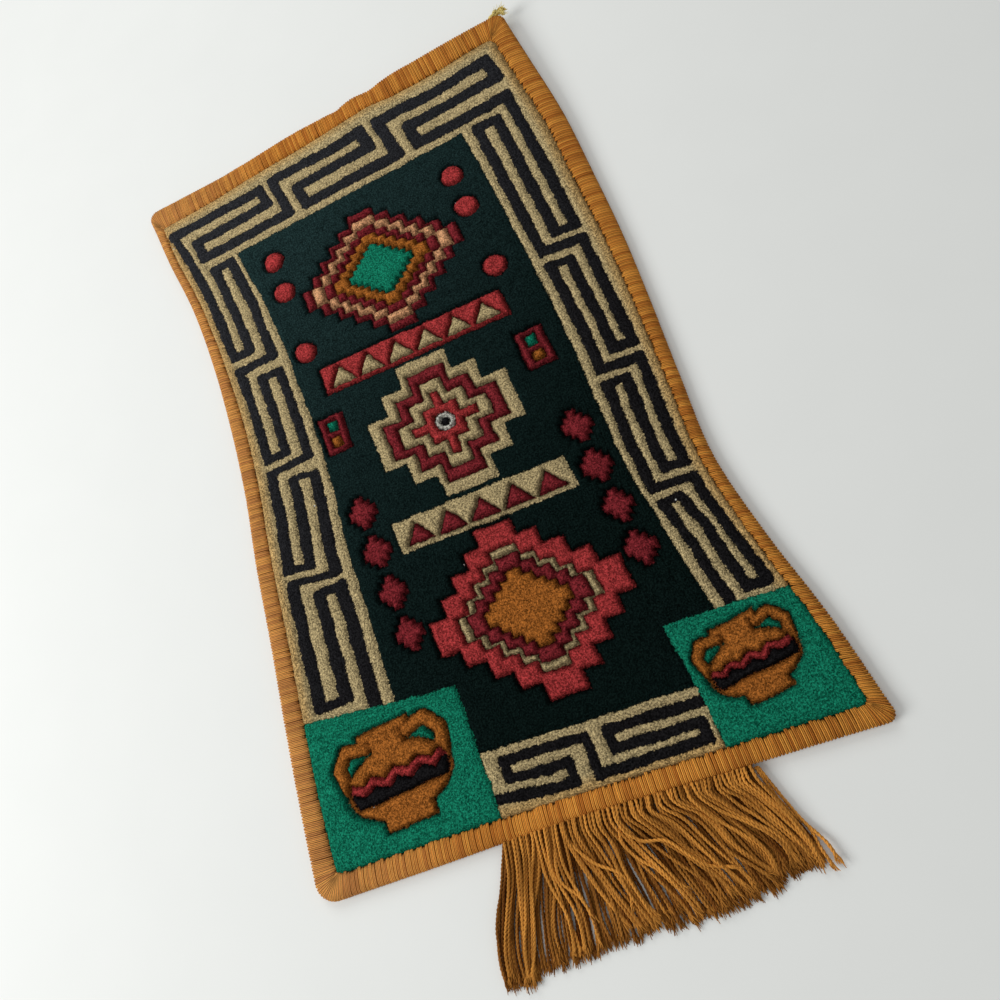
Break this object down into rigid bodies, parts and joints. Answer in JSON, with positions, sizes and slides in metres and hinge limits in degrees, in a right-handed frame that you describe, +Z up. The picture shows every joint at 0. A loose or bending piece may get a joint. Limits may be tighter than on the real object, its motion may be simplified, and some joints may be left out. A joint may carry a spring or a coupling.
{
  "type": "woven tapestry",
  "caption": "Small waisted pile tapestry lying flat, with a running key border round a dark field, an overcast edge and a yarn fringe under its bottom edge.",
  "frame": {"origin": "middle of the outline of the whole piece, fringe included, on the surface that it lies on", "axes": "+Z up off that surface, +Y towards the top edge, away from the fringe, and +X to the right of someone who looks at the pile"},
  "size_m": [0.2832, 0.512, 0.0101],
  "materials": {
    "pile": "dense cut wool pile, matt, very dark green with a tan, black and emerald pattern",
    "binding_yarn": "overcast ochre wool yarn, matt",
    "fringe_yarn": "two-ply ochre wool yarn, matt",
    "tail_yarn": "loose end of yellow ochre wool yarn, matt"
  },
  "bodies": {
    "root": {"pile_panel": "pile", "edge_binding": "binding_yarn", "fringe_comb": "fringe_yarn", "yarn_tail": "tail_yarn"}
  },
  "joints": []
}
